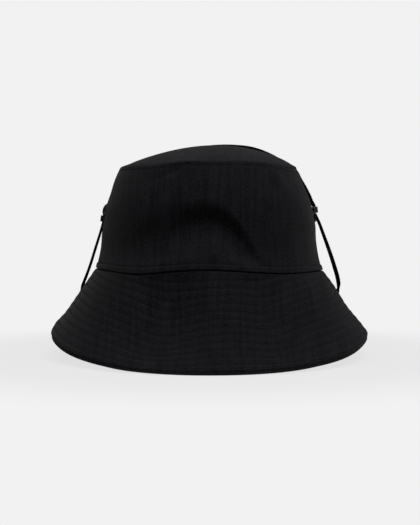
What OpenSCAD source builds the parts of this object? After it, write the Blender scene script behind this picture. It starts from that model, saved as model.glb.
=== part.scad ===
// Bucket hat with a chin cord, lying on a flat surface with its front towards -Y.
// The origin is on the resting surface, under the middle of the hat. Millimetres, +Z up.

/* [Crown] */
// Half width of the crown at the base seam
base_half_w = 92.3; // [84:0.1:98]
// Half length of the crown at the base seam
base_half_l = 100; // [92:0.5:106]
// Half width of the crown at the tip seam
tip_half_w = 73.2; // [66:0.1:78]
// Half length of the crown at the tip seam
tip_half_l = 81; // [74:0.5:86]
// Height of the crown wall between its two seams
crown_h = 80; // [70:1:95]
// Rise of the domed tip above its seam
dome_rise = 19.6; // [12:0.1:24]

/* [Brim] */
// How far the brim spreads outwards at the front and back
brim_spread_front = 45; // [38:0.5:52]
// How far the brim spreads outwards at the sides
brim_spread_side = 37.7; // [30:0.1:42]
// Height of the base seam above the resting surface
base_z = 72; // [66:1:80]
// Height of the brim's edge above the resting surface at the sides
side_lift = 18; // [10:0.5:24]
// Thickness of each of the brim's two cloth layers
cloth_t = 0.7; // [0.5:0.05:1]
// Number of rows of stitching round the brim
stitch_rows = 12; // [8:1:14]

/* [Inside] */
// Height of the sweatband
sweatband_h = 30; // [24:1:36]

/* [Cord] */
// Diameter of the braided cord
cord_d = 2.6; // [2.4:0.1:2.8]
// How far the cord lock slides away from the hat
lock_travel = 24; // [10:1:26]
// How far the cord lock's button goes in
button_travel = 4; // [2:0.5:4.5]

/* [Hidden] */

// Steps round the hat, and a small gap that keeps neighbouring cloth layers apart
steps = 60;
gap = 0.1;
panel_t = 1;
lining_t = 0.4;
lining_d = panel_t + gap;
band_d = lining_d + lining_t + gap;
band_t = 1.2;
label_t = 0.3;
interlining_t = 0.8;
tip_z = base_z + crown_h;
seam_a = 90;

// The wall bulges above its middle and flares just above the base seam
bulge = 2.3;
flare = 1.8;
// Equal steps of the wall's height at which every sheet has a row, so that the sheets stay parallel
wall_rows = 8;

// Shape of the brim's fall: straight at the sides, a little curved in front and bell-shaped at the back
front_spread_power = 1.5;
front_fall_power = 1.1;
back_spread_power = 2.2;
back_fall_power = 1.25;
lift_power = 3;
min_slope = 0.42;
flat_edge = 0.25;
// Shares of the brim's width at which every layer has a row, so that the layers stay parallel
brim_s = [0, 0.05, 0.15, 0.28, 0.42, 0.56, 0.7, 0.83, 0.95, 1];
thread_r = 0.3;
// Each row of stitching keeps one distance from the brim's edge all round. The highest row's distance is a
// share of the brim's length at the front. A row stops where its own share of the brim's width is less than
// hidden_row_s, at the base seam.
highest_row_share = 0.895;
lowest_row_gap = 8;
hidden_row_s = 0.03;

// Cord guides: a metal bridge on each side of the crown, tilted with its wall
guide_z = base_z + 42.8;
guide_tilt = 7.6;
guide_h = 12.3;
guide_w = 20;
guide_metal_t = 0.8;
// The bridge, which holds the cord, is at the top of the right plate and at the bottom of the left one
bridge_h = 5;
slot_w = 6.2;
slot_h = 3;
rivet_y = 6.8;
rivet_r = 1.2;
rivet_head_r = 2.1;
rivet_head_t = 0.7;
hole_clearance = 0.05;
backing_d = lining_d + lining_t + gap;

// Cord lock, lying behind the hat with its cords running straight through it
lock_y = 162;
lock_r = 6.5;
lock_z = lock_r + 0.3;
half_pitch = 1.6;
straight_end_y = lock_y + lock_r + lock_travel + 1.5;
barrel_min_x = -14;
barrel_max_x = 6;
barrel_wall = 1.4;
plunger_r = 4.6;
plunger_clearance = 0.15;
plunger_end_x = -5.2;
plunger_tip_x = 11;
window_h = 3.6;
window_half_w = 3.6;
spring_r = 3;
spring_wire_r = 0.3;
spring_turns = 4;
spring_sides = 6;
spring_steps = 12;
knot_r = 3.4;

// Route of the cord over the crown, from the right guide to the left one
crown_route = [[85.9, 0, 118.6], [85.3, 0.4, 122.6], [83.9, 2, 130], [81.2, 6, 138], [77.8, 11, 145],
               [75, 15.5, 151], [70.2, 17.5, 156.6], [62, 15, 160], [52, 11, 164.2], [40, 7, 168.3],
               [28, 5, 171.4], [15, 8, 173.3], [1, 16, 173.5], [-14, 26, 171.5], [-29, 34, 167.8],
               [-44, 39, 163], [-57, 41, 158.3], [-66.5, 40, 154], [-71, 35.5, 148], [-74.6, 31.6, 142.4],
               [-77.6, 28.4, 136.6], [-80.2, 24.4, 131.2], [-82.5, 19.8, 126.6], [-84.3, 14.9, 123.2],
               [-86.1, 9.8, 121.4], [-86.8, 6.4, 120], [-87.1, 3.8, 118.5], [-87, 1.9, 116.6],
               [-86.7, 0.7, 114.4], [-86.8, 0.1, 111.3]];
// Routes of the two halves of the chin cord, from the guides down to the brim
right_drop = [[85.9, 0, 118.6], [86.4, 0, 115.2], [87.8, 0.2, 111.8], [90, 0.6, 107], [93.2, 1.2, 98.5],
              [96.6, 2, 89.5], [100, 3, 80], [103, 4.5, 71], [105.4, 7, 63.5], [106.8, 10.5, 57.5],
              [107.2, 16, 53.2]];
left_drop = [[-86.8, 0.1, 111.3], [-87.4, 0.2, 108.2], [-89.2, 0.8, 101.5], [-91.8, 1.8, 93.5],
             [-94.9, 3, 84], [-98, 4.5, 74.5], [-101.2, 6.5, 66], [-104.2, 9.5, 59], [-106.6, 15, 53.5]];
// From there both lie round the back of the brim, through the cord lock and on to their end knots
back_route = [[107.2, 24, 50.2], [106, 35.5, 46.4], [103.2, 48.5, 41.6], [98.5, 62, 36.2], [91.5, 76, 30.4],
              [81.5, 90, 24.6], [68, 104.5, 18.6], [52.5, 117, 13.3], [35.5, 128, 9.2], [20, 136.5, 7],
              [9.5, 143.5, 6.8], [3.5, 149, 6.8], [half_pitch, 155, lock_z], [half_pitch, lock_y, lock_z],
              [half_pitch, 170, lock_z], [half_pitch, 180, lock_z], [half_pitch, straight_end_y, lock_z],
              [2.6, 201, 5.8], [5.5, 208, 3.8], [9, 216, 2.2], [12, 224, 1.8]];

function mix(a, b, k) = a + (b - a) * k;

// Crown wall: half width or half length at the share t of its height
function wall_half(base, tip, t) = mix(base, tip, t) + bulge * sin(180 * t) - flare * sin(360 * t);

// A point of the crown wall, d inside its outer face, at angle a from the front
function wall_pt(t, a, d) =
    [(wall_half(base_half_w, tip_half_w, t) - d) * sin(a),
     -(wall_half(base_half_l, tip_half_l, t) - d) * cos(a),
     base_z + crown_h * t];

// A point of the tip, where rho is 0 in the middle and 1 at the seam, and up is above its under face
function tip_pt(rho, a, up, inset) =
    [(tip_half_w - inset) * rho * sin(a), -(tip_half_l - inset) * rho * cos(a),
     tip_z + dome_rise * (1 - rho * rho) + up];

// Height of the brim's edge, flat where the hat rests
function edge_z(a) = max(0, side_lift * pow(abs(sin(a)), lift_power) - flat_edge);
function bell(a) = cos(a) * cos(a);
function brim_spread(s, a) =
    let (power = cos(a) > 0 ? front_spread_power : back_spread_power)
    mix(brim_spread_side * s, brim_spread_front * pow(s, power), bell(a));
function brim_fall(s, a) =
    let (power = cos(a) > 0 ? front_fall_power : back_fall_power)
    mix(1 - s, pow(1 - s, power), bell(a));
function brim_z(s, a) = edge_z(a) + (base_z - edge_z(a)) * brim_fall(s, a);

// Sine of the brim's slope, which turns a cloth's thickness into a level distance
function brim_steepness(s, a) =
    let (ds = 0.02, s0 = max(0, s - ds), s1 = min(1, s + ds),
         run = brim_spread(s1, a) - brim_spread(s0, a), drop = brim_z(s0, a) - brim_z(s1, a))
    max(min_slope, drop / sqrt(run * run + drop * drop));

// A point of the brim, d inside its outer face
function brim_pt(s, a, d) =
    let (inset = d / brim_steepness(s, a), spread = brim_spread(s, a) - inset)
    [(base_half_w + spread) * sin(a), -(base_half_l + spread) * cos(a), brim_z(s, a)];

// Length of the brim's cloth from the base seam to its edge, at angle a from the front
length_parts = 8;
function sum(list, i = 0) = i < len(list) ? list[i] + sum(list, i + 1) : 0;
function brim_length(a) =
    sum([for (i = [1 : length_parts])
        norm(brim_pt(i / length_parts, a, 0) - brim_pt((i - 1) / length_parts, a, 0))]);

// Share of the brim's width at which a row of stitching lies, at angle a from the front
function row_gap(row) =
    mix(highest_row_share * brim_length(0), lowest_row_gap, row / (stitch_rows - 1));
function row_s(row, a) = 1 - row_gap(row) / brim_length(a);

// A closed solid between two grids of points, outer and inner, each a list of rows.
// ring: the rows close round the hat. Rows run from the top down, and columns anticlockwise.
module between(outer, inner, ring) {
    rows = len(outer);
    cols = len(outer[0]);
    count = rows * cols;
    last = ring ? cols : cols - 1;
    points = [for (grid = [outer, inner], row = grid, p = row) p];
    function at(k, i, j) = k * count + i * cols + j % cols;
    skins = [for (i = [0 : rows - 2], j = [0 : last - 1])
        each [[at(0, i, j), at(0, i, j + 1), at(0, i + 1, j + 1)],
              [at(0, i, j), at(0, i + 1, j + 1), at(0, i + 1, j)],
              [at(1, i, j), at(1, i + 1, j + 1), at(1, i, j + 1)],
              [at(1, i, j), at(1, i + 1, j), at(1, i + 1, j + 1)]]];
    edges = [for (j = [0 : last - 1])
        each [[at(0, 0, j), at(1, 0, j + 1), at(0, 0, j + 1)],
              [at(0, 0, j), at(1, 0, j), at(1, 0, j + 1)],
              [at(0, rows - 1, j), at(0, rows - 1, j + 1), at(1, rows - 1, j + 1)],
              [at(0, rows - 1, j), at(1, rows - 1, j + 1), at(1, rows - 1, j)]]];
    sides = ring ? [] : [for (i = [0 : rows - 2])
        each [[at(0, i, 0), at(0, i + 1, 0), at(1, i + 1, 0)],
              [at(0, i, 0), at(1, i + 1, 0), at(1, i, 0)],
              [at(0, i, last), at(1, i + 1, last), at(0, i + 1, last)],
              [at(0, i, last), at(1, i, last), at(1, i + 1, last)]]];
    polyhedron(points, concat(skins, edges, sides), convexity = 6);
}

// Shares of the wall's height from t1 down to t0, with the common rows between them
function wall_shares(t0, t1) =
    concat([t1], [for (i = [wall_rows - 1 : -1 : 1]) let (t = i / wall_rows) if (t > t0 && t < t1) t], [t0]);

// Part of the crown wall, d0 to d1 inside its outer face, from share t1 down to t0
module wall_sheet(d0, d1, t0, t1, a0, a1) {
    ring = a1 - a0 == 360;
    cols = round(steps * (a1 - a0) / 360);
    angles = [for (j = [0 : ring ? cols - 1 : cols]) a0 + j * (a1 - a0) / cols];
    shares = wall_shares(t0, t1);
    between([for (t = shares) [for (a = angles) wall_pt(t, a, d0)]],
            [for (t = shares) [for (a = angles) wall_pt(t, a, d1)]], ring);
}

module brim_sheet(d0, d1, shares) {
    angles = [for (j = [0 : steps - 1]) j * 360 / steps];
    between([for (s = shares) [for (a = angles) brim_pt(s, a, d0)]],
            [for (s = shares) [for (a = angles) brim_pt(s, a, d1)]], true);
}

// Domed tip, its middle closed by a small flat
module dome_sheet(low, high, inset, rings) {
    angles = [for (j = [0 : steps - 1]) j * 360 / steps];
    rhos = [for (i = [1 : rings]) i / rings];
    count = rings * steps;
    function at(k, i, j) = k * count + i * steps + j % steps;
    points = concat([for (rho = rhos, a = angles) tip_pt(rho, a, high, inset)],
                    [for (rho = rhos, a = angles) tip_pt(rho, a, low, inset)],
                    [tip_pt(0, 0, high, inset), tip_pt(0, 0, low, inset)]);
    skins = [for (i = [0 : rings - 2], j = [0 : steps - 1])
        each [[at(0, i, j), at(0, i, j + 1), at(0, i + 1, j + 1)],
              [at(0, i, j), at(0, i + 1, j + 1), at(0, i + 1, j)],
              [at(1, i, j), at(1, i + 1, j + 1), at(1, i, j + 1)],
              [at(1, i, j), at(1, i + 1, j), at(1, i + 1, j + 1)]]];
    middles = [for (j = [0 : steps - 1])
        each [[2 * count, at(0, 0, j + 1), at(0, 0, j)],
              [2 * count + 1, at(1, 0, j), at(1, 0, j + 1)]]];
    rims = [for (j = [0 : steps - 1])
        each [[at(0, rings - 1, j), at(0, rings - 1, j + 1), at(1, rings - 1, j + 1)],
              [at(0, rings - 1, j), at(1, rings - 1, j + 1), at(1, rings - 1, j)]]];
    polyhedron(points, concat(skins, middles, rims), convexity = 6);
}

// A thread through points on the hat's cloth, closed into a loop where ring is true
module thread(points, ring = true) {
    n = len(points);
    runs = ring ? n : n - 1;
    lift = [[0, 0, thread_r], [0, 0, -thread_r / 2], [0, 0, -thread_r / 2]];
    reach = [0, thread_r, -thread_r];
    corners = [for (p = points) let (out = [p[0], p[1], 0] / norm([p[0], p[1], 0]))
        each [for (k = [0 : 2]) p + lift[k] + out * reach[k]]];
    faces = [for (j = [0 : runs - 1], k = [0 : 2]) let (a = j * 3 + k, b = j * 3 + (k + 1) % 3,
             c = ((j + 1) % n) * 3 + k, d = ((j + 1) % n) * 3 + (k + 1) % 3)
        each [[a, b, d], [a, d, c]]];
    ends = ring ? [] : [[2, 1, 0], [3 * n - 3, 3 * n - 2, 3 * n - 1]];
    polyhedron(corners, concat(faces, ends), convexity = 4);
}

// A round tube along a route, with one ring of sides at each point
function unit(v) = v / norm(v);
function tangent(route, i) =
    unit(route[min(i + 1, len(route) - 1)] - route[max(i - 1, 0)]);
function smooth_pt(route, i, k) =
    let (n = len(route) - 1, p0 = route[max(i - 1, 0)], p1 = route[i],
         p2 = route[min(i + 1, n)], p3 = route[min(i + 2, n)])
    0.5 * (2 * p1 + (p2 - p0) * k + (2 * p0 - 5 * p1 + 4 * p2 - p3) * k * k
           + (3 * p1 - p0 - 3 * p2 + p3) * k * k * k);
function smoothed(route, parts) =
    concat([for (i = [0 : len(route) - 2], k = [0 : parts - 1]) smooth_pt(route, i, k / parts)],
           [route[len(route) - 1]]);
module tube(route, d, sides = 8) {
    n = len(route);
    ring = [for (i = [0 : n - 1]) let (t = tangent(route, i),
            side = unit(cross(t, abs(t[2]) > 0.8 ? [0, 1, 0] : [0, 0, 1])), up = cross(side, t))
        each [for (k = [0 : sides - 1]) let (a = 360 * (k + 0.5) / sides)
            route[i] + (side * cos(a) + up * sin(a)) * d / 2]];
    skin = [for (i = [0 : n - 2], k = [0 : sides - 1])
        let (a = i * sides + k, b = i * sides + (k + 1) % sides)
        each [[a, b, b + sides], [a, b + sides, a + sides]]];
    caps = [[for (k = [0 : sides - 1]) sides - 1 - k], [for (k = [0 : sides - 1]) (n - 1) * sides + k]];
    polyhedron(ring, concat(skin, caps), convexity = 6);
}
function mirrored(route) = [for (p = route) [-p[0], p[1], p[2]]];

module tip_panel() {
    color([0.09, 0.085, 0.09]) dome_sheet(0, panel_t, 0, 6);
}

module crown_front_panel() {
    color([0.08, 0.075, 0.08]) wall_sheet(0, panel_t, 0, 1, -seam_a, seam_a);
}

module crown_back_panel() {
    color([0.08, 0.075, 0.08]) wall_sheet(0, panel_t, 0, 1, seam_a, 360 - seam_a);
}

module tip_lining() {
    color([0.12, 0.12, 0.12]) dome_sheet(-gap - lining_t, -gap, panel_t + gap, 4);
}

module crown_front_lining() {
    color([0.12, 0.12, 0.12])
        wall_sheet(lining_d, lining_d + lining_t, 0.02, 0.99, -seam_a, seam_a);
}

module crown_back_lining() {
    color([0.12, 0.12, 0.12])
        wall_sheet(lining_d, lining_d + lining_t, 0.02, 0.99, seam_a, 360 - seam_a);
}

module sweatband() {
    color([0.1, 0.1, 0.1])
        wall_sheet(band_d, band_d + band_t, 0.03, 0.03 + sweatband_h / crown_h, 0, 360);
}

module base_seam_tape() {
    color([0.1, 0.1, 0.1])
        wall_sheet(band_d + band_t + gap, band_d + band_t + gap + lining_t, 0.005, 0.1, 0, 360);
}

module brim_top_layer() {
    color([0.08, 0.075, 0.08]) brim_sheet(0, cloth_t, brim_s);
}

module brim_interlining() {
    color([0.2, 0.2, 0.2])
        brim_sheet(cloth_t + gap, cloth_t + gap + interlining_t,
                   [for (i = [1 : len(brim_s) - 2]) brim_s[i]]);
}

module brim_under_layer() {
    color([0.08, 0.075, 0.08])
        brim_sheet(cloth_t + 2 * gap + interlining_t, 2 * cloth_t + 2 * gap + interlining_t, brim_s);
}

module care_label() {
    label_d = band_d + band_t + 3 * gap;
    color([0.15, 0.15, 0.15]) wall_sheet(label_d, label_d + label_t, 0.14, 0.34, 174, 186);
}

// A row goes all round, or is an arc at the front and one at the back with its ends at the base seam
module brim_stitching() {
    quarter = steps / 4;
    function row_pt(row, j) = let (a = j * 360 / steps) brim_pt(row_s(row, a), a, -2.2 * thread_r);
    function in_sight(row, j) = row_s(row, j * 360 / steps) > hidden_row_s;
    color([0.03, 0.03, 0.03]) for (row = [0 : stitch_rows - 1]) {
        if (in_sight(row, quarter))
            thread([for (j = [0 : steps - 1]) row_pt(row, j)]);
        else for (middle = [0, 2 * quarter])
            thread([for (j = [middle - quarter : middle + quarter])
                if (in_sight(row, j)) row_pt(row, j)], false);
    }
}

module base_seam_stitching() {
    color([0.03, 0.03, 0.03])
        thread([for (j = [0 : steps - 1]) wall_pt(0.04, j * 360 / steps, -1.4 * thread_r)]);
}

module tip_seam_stitching() {
    color([0.03, 0.03, 0.03]) {
        thread([for (j = [0 : steps - 1]) wall_pt(0.97, j * 360 / steps, -1.4 * thread_r)]);
        thread([for (j = [0 : steps - 1]) tip_pt(0.96, j * 360 / steps, panel_t + 3 * thread_r, 0)]);
    }
}

// Places a guide's pieces on the right side: +X outwards, the origin on the crown's outer face
module at_guide() {
    share = (guide_z - base_z) / crown_h;
    translate([wall_half(base_half_w, tip_half_w, share) + gap, 0, guide_z])
        rotate([0, -guide_tilt, 0]) children();
}

module rivet_holes(from_x, to_x) {
    for (y = [-rivet_y, rivet_y])
        translate([from_x, y, 0]) rotate([0, 90, 0])
            cylinder(r = rivet_r + hole_clearance, h = to_x - from_x, $fn = 48);
}

module guide_bridge(bridge_low) {
    bridge_w = slot_w + 2 * guide_metal_t;
    difference() {
        union() {
            translate([0, -guide_w / 2, -guide_h / 2]) cube([guide_metal_t, guide_w, guide_h]);
            translate([0, -bridge_w / 2, bridge_low])
                cube([slot_h + guide_metal_t, bridge_w, bridge_h]);
        }
        translate([-1, -slot_w / 2, -guide_h]) cube([slot_h + 1, slot_w, 2 * guide_h]);
        rivet_holes(-1, guide_metal_t + 1);
    }
}

module guide_backing_plate() {
    difference() {
        translate([-backing_d - 2 * guide_metal_t - 1, -guide_w / 2, -guide_h / 2])
            cube([guide_metal_t, guide_w, guide_h]);
        rivet_holes(-10, 1);
    }
}

module guide_rivet_pair() {
    inner_x = -backing_d - 2 * guide_metal_t - 1;
    for (y = [-rivet_y, rivet_y]) translate([0, y, 0]) rotate([0, 90, 0]) {
        translate([0, 0, inner_x - rivet_head_t])
            cylinder(r = rivet_r, h = guide_metal_t + 2 * rivet_head_t - inner_x, $fn = 48);
        translate([0, 0, guide_metal_t]) cylinder(r = rivet_head_r, h = rivet_head_t, $fn = 48);
        translate([0, 0, inner_x - rivet_head_t]) cylinder(r = rivet_head_r, h = rivet_head_t, $fn = 48);
    }
}

module guide_right() {
    color([0.25, 0.25, 0.27]) at_guide() guide_bridge(guide_h / 2 - bridge_h);
}

module guide_left() {
    color([0.25, 0.25, 0.27]) mirror([1, 0, 0]) at_guide() guide_bridge(-guide_h / 2);
}

module guide_rivets_right() {
    color([0.25, 0.25, 0.27]) at_guide() guide_rivet_pair();
}

module guide_rivets_left() {
    mirror([1, 0, 0]) guide_rivets_right();
}

module guide_backing_right() {
    color([0.25, 0.25, 0.27]) at_guide() guide_backing_plate();
}

module guide_backing_left() {
    mirror([1, 0, 0]) guide_backing_right();
}

module crown_cord() {
    color([0.02, 0.02, 0.02]) tube(smoothed(crown_route, 2), cord_d);
}

module chin_cord_right() {
    color([0.02, 0.02, 0.02]) tube(smoothed(concat(right_drop, back_route), 2), cord_d);
}

module chin_cord_left() {
    color([0.02, 0.02, 0.02]) tube(smoothed(concat(left_drop, mirrored(back_route)), 2), cord_d);
}

module cord_end_knots() {
    tail = back_route[len(back_route) - 1];
    color([0.02, 0.02, 0.02]) for (side = [-1, 1])
        translate([side * (tail[0] + 1.2), tail[1] + knot_r - 0.6, knot_r])
            sphere(r = knot_r, $fn = 24);
}

// Places the cord lock's pieces: X along its button, Y along the cords
module at_lock() {
    translate([0, lock_y, lock_z]) children();
}

module along_x(from_x, to_x, r) {
    translate([from_x, 0, 0]) rotate([0, 90, 0]) cylinder(r = r, h = to_x - from_x, $fn = 64);
}

// Opening for the two cords, running right through along Y
module cord_window(min_x, max_x) {
    end_r = window_h / 2;
    for (x = [min_x + end_r, max_x - end_r])
        translate([x, 2 * lock_r, 0]) rotate([90, 0, 0]) cylinder(r = end_r, h = 4 * lock_r, $fn = 48);
    translate([min_x + end_r, -2 * lock_r, -end_r])
        cube([max_x - min_x - 2 * end_r, 4 * lock_r, window_h]);
}

module lock_barrel() {
    color([0.05, 0.05, 0.05]) at_lock() difference() {
        along_x(barrel_min_x, barrel_max_x, lock_r);
        along_x(barrel_min_x + barrel_wall, barrel_max_x + 1, plunger_r + plunger_clearance);
        cord_window(-window_half_w, window_half_w);
    }
}

module lock_plunger() {
    color([0.06, 0.06, 0.06]) at_lock() difference() {
        along_x(plunger_end_x, plunger_tip_x, plunger_r);
        cord_window(-window_half_w, window_half_w + button_travel);
    }
}

// The spring is drawn fully pressed, against the barrel's closed end
module lock_spring() {
    count = spring_turns * spring_steps;
    pitch = 2 * spring_wire_r + 0.05;
    start_x = barrel_min_x + barrel_wall + spring_wire_r + 0.05;
    coil = [for (i = [0 : count]) let (a = i * 360 / spring_steps)
        [start_x + pitch * i / spring_steps, spring_r * cos(a), spring_r * sin(a)]];
    color([0.6, 0.6, 0.62]) at_lock() tube(coil, 2 * spring_wire_r, spring_sides);
}

tip_panel();
crown_front_panel();
crown_back_panel();
tip_lining();
crown_front_lining();
crown_back_lining();
sweatband();
base_seam_tape();
brim_top_layer();
brim_interlining();
brim_under_layer();
care_label();
brim_stitching();
base_seam_stitching();
tip_seam_stitching();
guide_left();
guide_right();
guide_rivets_left();
guide_rivets_right();
guide_backing_left();
guide_backing_right();
crown_cord();
chin_cord_left();
chin_cord_right();
cord_end_knots();
lock_barrel();
lock_plunger();
lock_spring();
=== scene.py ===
import math

import bpy
import numpy as np
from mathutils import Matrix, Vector


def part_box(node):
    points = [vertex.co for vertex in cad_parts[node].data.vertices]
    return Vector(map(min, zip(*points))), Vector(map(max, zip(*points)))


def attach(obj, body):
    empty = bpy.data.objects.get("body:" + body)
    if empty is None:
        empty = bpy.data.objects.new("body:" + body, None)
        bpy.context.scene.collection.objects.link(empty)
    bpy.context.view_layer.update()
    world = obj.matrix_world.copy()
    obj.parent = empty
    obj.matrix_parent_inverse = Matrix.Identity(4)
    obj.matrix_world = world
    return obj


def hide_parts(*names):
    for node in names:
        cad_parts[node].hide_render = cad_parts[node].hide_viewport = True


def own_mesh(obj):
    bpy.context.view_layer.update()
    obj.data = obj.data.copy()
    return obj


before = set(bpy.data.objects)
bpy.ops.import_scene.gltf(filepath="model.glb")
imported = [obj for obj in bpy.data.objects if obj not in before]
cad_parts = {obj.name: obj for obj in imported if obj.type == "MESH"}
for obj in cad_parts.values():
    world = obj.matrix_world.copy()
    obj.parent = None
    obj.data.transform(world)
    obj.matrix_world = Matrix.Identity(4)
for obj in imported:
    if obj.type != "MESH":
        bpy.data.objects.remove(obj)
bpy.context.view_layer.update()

# The looks of a bucket hat with a chin cord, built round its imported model. Metres, +Z up, front towards -Y.
scene = bpy.context.scene
MM = 0.001
TURN = 2 * math.pi


# ---------------------------------------------------------------- camera and stage

LENS_MM, SENSOR_MM = 83.66, 36
CAMERA_PLACE = (0.0002, -1.0, 0.1078)
CAMERA_DIPS = 1.854


def make_camera():
    """A long lens a metre in front of the hat, a little below its cord guides, that dips slightly."""
    data = bpy.data.cameras.new("camera")
    data.sensor_width = SENSOR_MM
    data.lens = LENS_MM
    camera = bpy.data.objects.new("camera", data)
    scene.collection.objects.link(camera)
    camera.location = CAMERA_PLACE
    camera.rotation_euler = (math.radians(90 - CAMERA_DIPS), 0, 0)
    scene.camera = camera


make_camera()


# ---------------------------------------------------------------- small tools for grids and meshes

def mix(a, b, k):
    """a where k is 0 and b where k is 1."""
    return a + (b - a) * k


def hump(x, centre, width):
    """1 at the centre, and nearly 0 two widths away."""
    return np.exp(-(((x - centre) / width) ** 2))


def round_hump(a, centre_deg, width_deg):
    """A hump at an angle round the hat, in degrees from the front, positive to the right."""
    away = (np.degrees(a) - centre_deg + 180) % 360 - 180
    return hump(away, 0, width_deg)


def step_up(x, start, end):
    """0 before start and 1 after end, with a smooth change between."""
    k = np.clip((x - start) / (end - start), 0, 1)
    return k * k * (3 - 2 * k)


def unit(v):
    """Vectors of length 1 in the same directions."""
    return v / np.maximum(np.linalg.norm(v, axis=-1, keepdims=True), 1e-12)


def normal_of(face, u, a, sign):
    """Outward normals of a surface face(u, a), where sign is 1 if u goes up it and -1 if down."""
    du, da = 2e-3, 2e-3
    along = face(np.minimum(u + du, 1), a) - face(np.maximum(u - du, 0), a)
    across = face(u, a + da) - face(u, a - da)
    return unit(np.cross(across, along)) * sign


def new_object(name, points, faces, uv=None):
    """A mesh object from points, faces, and one uv for each face corner in metres."""
    mesh = bpy.data.meshes.new(name)
    mesh.from_pydata([tuple(p) for p in np.asarray(points, float)], [], [tuple(f) for f in faces])
    if uv is not None:
        layer = mesh.uv_layers.new(name="cloth")
        layer.data.foreach_set("uv", np.asarray(uv, np.float32).ravel())
    mesh.polygons.foreach_set("use_smooth", [True] * len(mesh.polygons))
    mesh.update()
    obj = bpy.data.objects.new(name, mesh)
    scene.collection.objects.link(obj)
    return obj


def grid_quads(rows, cols, ring_rows, ring_cols):
    """Rows and columns of the corners of each quad of a grid, anticlockwise seen from outside."""
    i, j = np.meshgrid(np.arange(rows if ring_rows else rows - 1),
                       np.arange(cols if ring_cols else cols - 1), indexing="ij")
    i, j = i.ravel(), j.ravel()
    return np.stack([i, i + 1, i + 1, i], 1), np.stack([j, j, j + 1, j + 1], 1)


def lengths_along(points, axis):
    """How far each point of a grid is along its row or column."""
    steps = np.linalg.norm(np.diff(points, axis=axis), axis=-1)
    first = np.zeros_like(np.take(steps, [0], axis=axis))
    return np.cumsum(np.concatenate([first, steps], axis=axis), axis=axis)


def cloth_uv(points, ring):
    """Flat places of a grid of cloth in metres: across from its middle column, down from its top row."""
    if ring:
        points = np.concatenate([points, points[:, :1]], axis=1)
    across = lengths_along(points, 1)
    middle = across.shape[1] // 2
    return np.stack([across - across[:, middle:middle + 1], -lengths_along(points, 0)], axis=-1)


def shell(name, face, outward, inner, us, angles, ring, inner_every=4, capped=False):
    """A closed sheet of cloth with rounded edges. face and outward give its outer points and normals at
    (u, angle), and us run down it. inner is its thickness, or a function for its inner points. A capped sheet
    starts with a tiny ring, which is filled instead."""
    u, a = np.meshgrid(us, angles, indexing="ij")
    outer, normals = face(u, a), outward(u, a)
    within = inner(u, a) if callable(inner) else outer - normals * inner
    uv = cloth_uv(outer, ring)
    inner_rows = sorted(set(range(0, len(us), inner_every)) | {len(us) - 1})
    turns = np.pi * np.array([0.25, 0.5, 0.75])

    def rim(row, beyond):
        middle, half = (outer[row] + within[row]) / 2, (outer[row] - within[row]) / 2
        out = unit(outer[row] - outer[beyond]) * np.linalg.norm(half, axis=-1, keepdims=True)
        return np.stack([middle + half * math.cos(k) + out * math.sin(k) for k in turns])

    lower, upper = rim(len(us) - 1, len(us) - 2), rim(0, 1)[::-1]
    if capped:
        upper = upper[:0]
    loop = np.concatenate([outer, lower, within[inner_rows][::-1], upper])
    columns = uv.shape[1]
    loop_uv = np.concatenate([uv, uv[[-1] * len(lower)], uv[inner_rows][::-1], uv[[0] * len(upper)],
                              uv[:1]])
    rows, cols = loop.shape[:2]
    r, c = grid_quads(rows, cols, not capped, ring)
    faces = ((r % rows) * cols + c % cols).tolist()
    corner_uv = loop_uv[r, c % columns].reshape(-1, 2)
    if not ring:
        ends = [(np.arange(rows) * cols).tolist(), (np.arange(rows) * cols + cols - 1)[::-1].tolist()]
        faces += ends
        corner_uv = np.concatenate([corner_uv, loop_uv[:rows, 0], loop_uv[:rows, -1][::-1]])
    if capped:
        faces += [list(range(cols)), list(range((rows - 1) * cols, rows * cols))[::-1]]
        corner_uv = np.concatenate([corner_uv, loop_uv[0, :cols], loop_uv[rows - 1, :cols][::-1]])
    return new_object(name, loop.reshape(-1, 3), faces, corner_uv)


def graded(start, end, count, spots=(), width=0.01, extra=6):
    """Shares from start to end, with extra ones round each spot."""
    more = [spot + width * k / extra for spot in spots for k in range(-extra, extra + 1)]
    inside = [x for x in more if min(start, end) < x < max(start, end)]
    shares = np.unique(np.round(np.concatenate([np.linspace(start, end, count), inside]), 5))
    return shares if end > start else shares[::-1]


def smoothed(route, step):
    """Points a fixed step apart on a smooth curve through a route's own points."""
    route = np.array(route, float)
    last = len(route) - 1
    curve = []
    for i in range(last):
        p0, p1, p2, p3 = (route[min(max(i + k, 0), last)] for k in (-1, 0, 1, 2))
        for k in np.arange(0, 1, 0.05):
            curve.append(0.5 * (2 * p1 + (p2 - p0) * k + (2 * p0 - 5 * p1 + 4 * p2 - p3) * k * k
                                + (3 * p1 - p0 - 3 * p2 + p3) * k ** 3))
    curve = np.array(curve + [route[last]])
    along = lengths_along(curve, 0)
    at = np.linspace(0, along[-1], int(along[-1] / step) + 1)
    return np.stack([np.interp(at, along, curve[:, k]) for k in range(3)], axis=1)


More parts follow.
